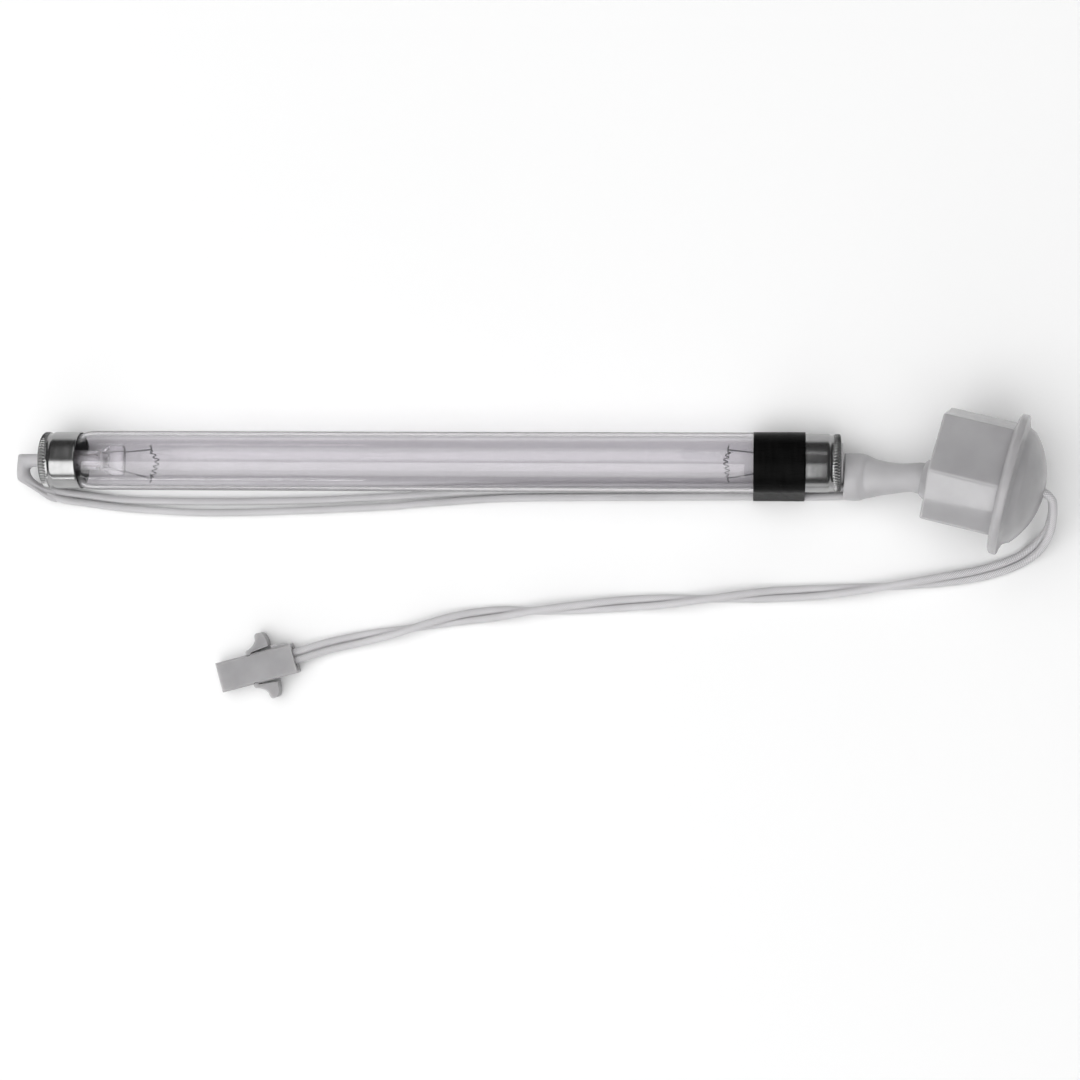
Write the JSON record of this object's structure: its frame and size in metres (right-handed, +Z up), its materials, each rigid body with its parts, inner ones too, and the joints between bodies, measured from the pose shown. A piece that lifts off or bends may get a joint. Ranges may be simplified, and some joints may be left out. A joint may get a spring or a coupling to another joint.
{
  "type": "uv clarifier replacement lamp",
  "caption": "Germicidal UV tube with metal end caps, soft hexagonal stopper on a flexible neck, and a twisted pigtail ending in a snap-in connector.",
  "frame": {"origin": "middle of the lamp and stopper's footprint, on the surface that they lie on", "axes": "+X along the lamp toward the stopper, +Z up off the surface, +Y away from the pigtail"},
  "size_m": [0.275, 0.0778, 0.0363],
  "materials": {
    "clear_glass": "gloss",
    "stem_glass": "gloss",
    "cap_metal": "polished",
    "insulator": "matte",
    "cement": "matte",
    "pin_metal": "satin",
    "seal_wire": "satin",
    "post_metal": "satin",
    "coil_metal": "matte",
    "black_tape": "semi-gloss",
    "white_sleeve": "satin",
    "white_lead": "satin",
    "white_braid": "woven",
    "white_silicone": "satin",
    "potting": "satin",
    "white_nylon": "satin",
    "contact_metal": "satin"
  },
  "bodies": {
    "lamp": {"glass_tube": "clear_glass", "far_end_cap": "cap_metal", "near_end_cap": "cap_metal", "far_cap_insulator": "insulator", "near_cap_insulator": "insulator", "far_cement_ring": "cement", "near_cement_ring": "cement", "far_contact_pins": "pin_metal", "near_contact_pins": "pin_metal", "far_stem": "stem_glass", "near_stem": "stem_glass", "far_exhaust_tube": "stem_glass", "near_exhaust_tube": "stem_glass", "far_seal_wires": "seal_wire", "near_seal_wires": "seal_wire", "far_filament_posts": "post_metal", "near_filament_posts": "post_metal", "far_filament": "coil_metal", "near_filament": "coil_metal", "tape_band": "black_tape", "pin_sleeve": "white_sleeve", "outer_return_lead": "white_lead", "inner_return_lead": "white_lead", "neck_sleeve": "white_sleeve", "neck_leads": "white_lead", "pigtail_lead_a": "white_braid", "pigtail_lead_b": "white_braid", "connector_housing": "white_nylon", "connector_contacts": "contact_metal"},
    "stopper": {"stopper": "white_silicone", "stopper_core": "potting"},
    "left_ear": {"left_panel_ear": "white_nylon"},
    "right_ear": {"right_panel_ear": "white_nylon"}
  },
  "joints": [
    {"name": "neck_bend", "type": "hinge", "parent": "lamp", "child": "stopper", "pos_m": [0.0966, 0.0014, 0.0098], "axis": [0, 0, 1], "range_deg": [-30, 45], "deforming": ["neck_sleeve", "neck_leads", "pigtail_lead_a", "pigtail_lead_b"]},
    {"name": "left_ear_squeeze", "type": "hinge", "parent": "lamp", "child": "left_ear", "pos_m": [-0.07233, -0.04589, 0.0028], "axis": [0, 0, -1], "range_deg": [0, 6], "stiffness_Nm_per_rad": 0.06},
    {"name": "right_ear_squeeze", "type": "hinge", "parent": "lamp", "child": "right_ear", "pos_m": [-0.06994, -0.05457, 0.0028], "axis": [0, 0, 1], "range_deg": [0, 6], "stiffness_Nm_per_rad": 0.06}
  ]
}
